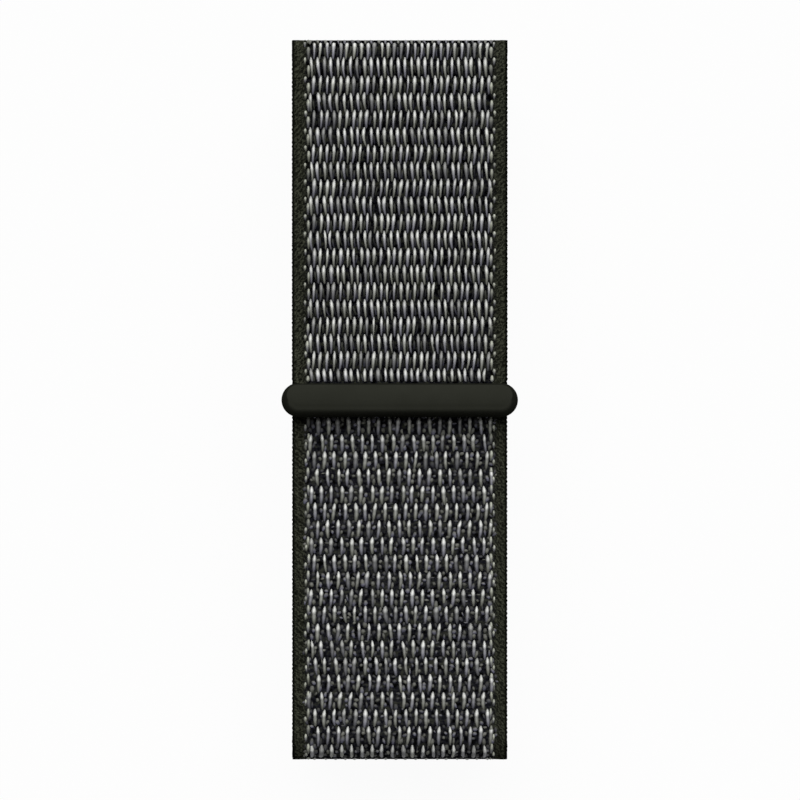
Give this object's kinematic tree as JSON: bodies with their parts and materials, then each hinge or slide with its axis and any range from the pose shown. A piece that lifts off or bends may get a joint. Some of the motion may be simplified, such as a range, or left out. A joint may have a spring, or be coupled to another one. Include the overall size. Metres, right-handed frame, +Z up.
{
  "type": "nylon watch strap",
  "caption": "Woven nylon hook-and-loop watch strap closed into its loop, with a moulded end tab, two lug connectors and quick-release spring bars.",
  "frame": {"origin": "centre of the bounding box's underside, on the surface that the closed strap lies on, halfway between the two lug connectors", "axes": "+X across the strap's width, +Y along its length towards the fold that the tail comes from, +Z up, out of the closed strap's front"},
  "size_m": [0.0242, 0.0746, 0.0233],
  "materials": {
    "woven_nylon": "woven, dark olive ground with pale grey loops",
    "hook_nylon": "moulded hook fabric",
    "sewing_thread": "twisted polyester thread",
    "moulded_nylon": "moulded, fine matte",
    "coated_steel": "bead blasted and dark coated",
    "bright_steel": "turned and polished"
  },
  "bodies": {
    "band": {"strap_band": "woven_nylon", "anchor_thread": "sewing_thread"},
    "tail": {"strap_tail": "woven_nylon", "hook_patch": "hook_nylon", "end_tab_outer": "moulded_nylon", "end_tab_inner": "moulded_nylon"},
    "connector_a": {"connector_a_body": "coated_steel", "connector_a_strap_pin": "bright_steel", "connector_a_bar_tube": "bright_steel", "connector_a_bar_spring": "bright_steel"},
    "connector_a_left_tip": {"connector_a_bar_tip_left": "bright_steel"},
    "connector_a_right_tip": {"connector_a_bar_tip_right": "bright_steel", "connector_a_release_lever": "bright_steel"},
    "connector_b": {"connector_b_body": "coated_steel", "connector_b_strap_pin": "bright_steel", "connector_b_bar_tube": "bright_steel", "connector_b_bar_spring": "bright_steel"},
    "connector_b_left_tip": {"connector_b_bar_tip_left": "bright_steel"},
    "connector_b_right_tip": {"connector_b_bar_tip_right": "bright_steel", "connector_b_release_lever": "bright_steel"}
  },
  "joints": [
    {"name": "tail_peel", "type": "hinge", "parent": "band", "child": "tail", "pos_m": [0, 0.03375, 0.0221], "axis": [-1, 0, 0], "range_deg": [0, 120]},
    {"name": "connector_a_swing", "type": "hinge", "parent": "band", "child": "connector_a", "pos_m": [0, -0.02205, 0.00245], "axis": [1, 0, 0], "range_deg": [-45, 75]},
    {"name": "connector_b_swing", "type": "hinge", "parent": "band", "child": "connector_b", "pos_m": [0, 0.02205, 0.00245], "axis": [-1, 0, 0], "range_deg": [-45, 75]},
    {"name": "connector_a_left_tip_press", "type": "slide", "parent": "connector_a", "child": "connector_a_left_tip", "axis": [1, 0, 0], "range_m": [0, 0.00105], "stiffness_N_per_m": 60, "deforming": ["connector_a_bar_spring"]},
    {"name": "connector_a_right_tip_press", "type": "slide", "parent": "connector_a", "child": "connector_a_right_tip", "axis": [-1, 0, 0], "range_m": [0, 0.00105], "stiffness_N_per_m": 60, "deforming": ["connector_a_bar_spring"]},
    {"name": "connector_b_left_tip_press", "type": "slide", "parent": "connector_b", "child": "connector_b_left_tip", "axis": [-1, 0, 0], "range_m": [0, 0.00105], "stiffness_N_per_m": 60, "deforming": ["connector_b_bar_spring"]},
    {"name": "connector_b_right_tip_press", "type": "slide", "parent": "connector_b", "child": "connector_b_right_tip", "axis": [1, 0, 0], "range_m": [0, 0.00105], "stiffness_N_per_m": 60, "deforming": ["connector_b_bar_spring"]}
  ]
}
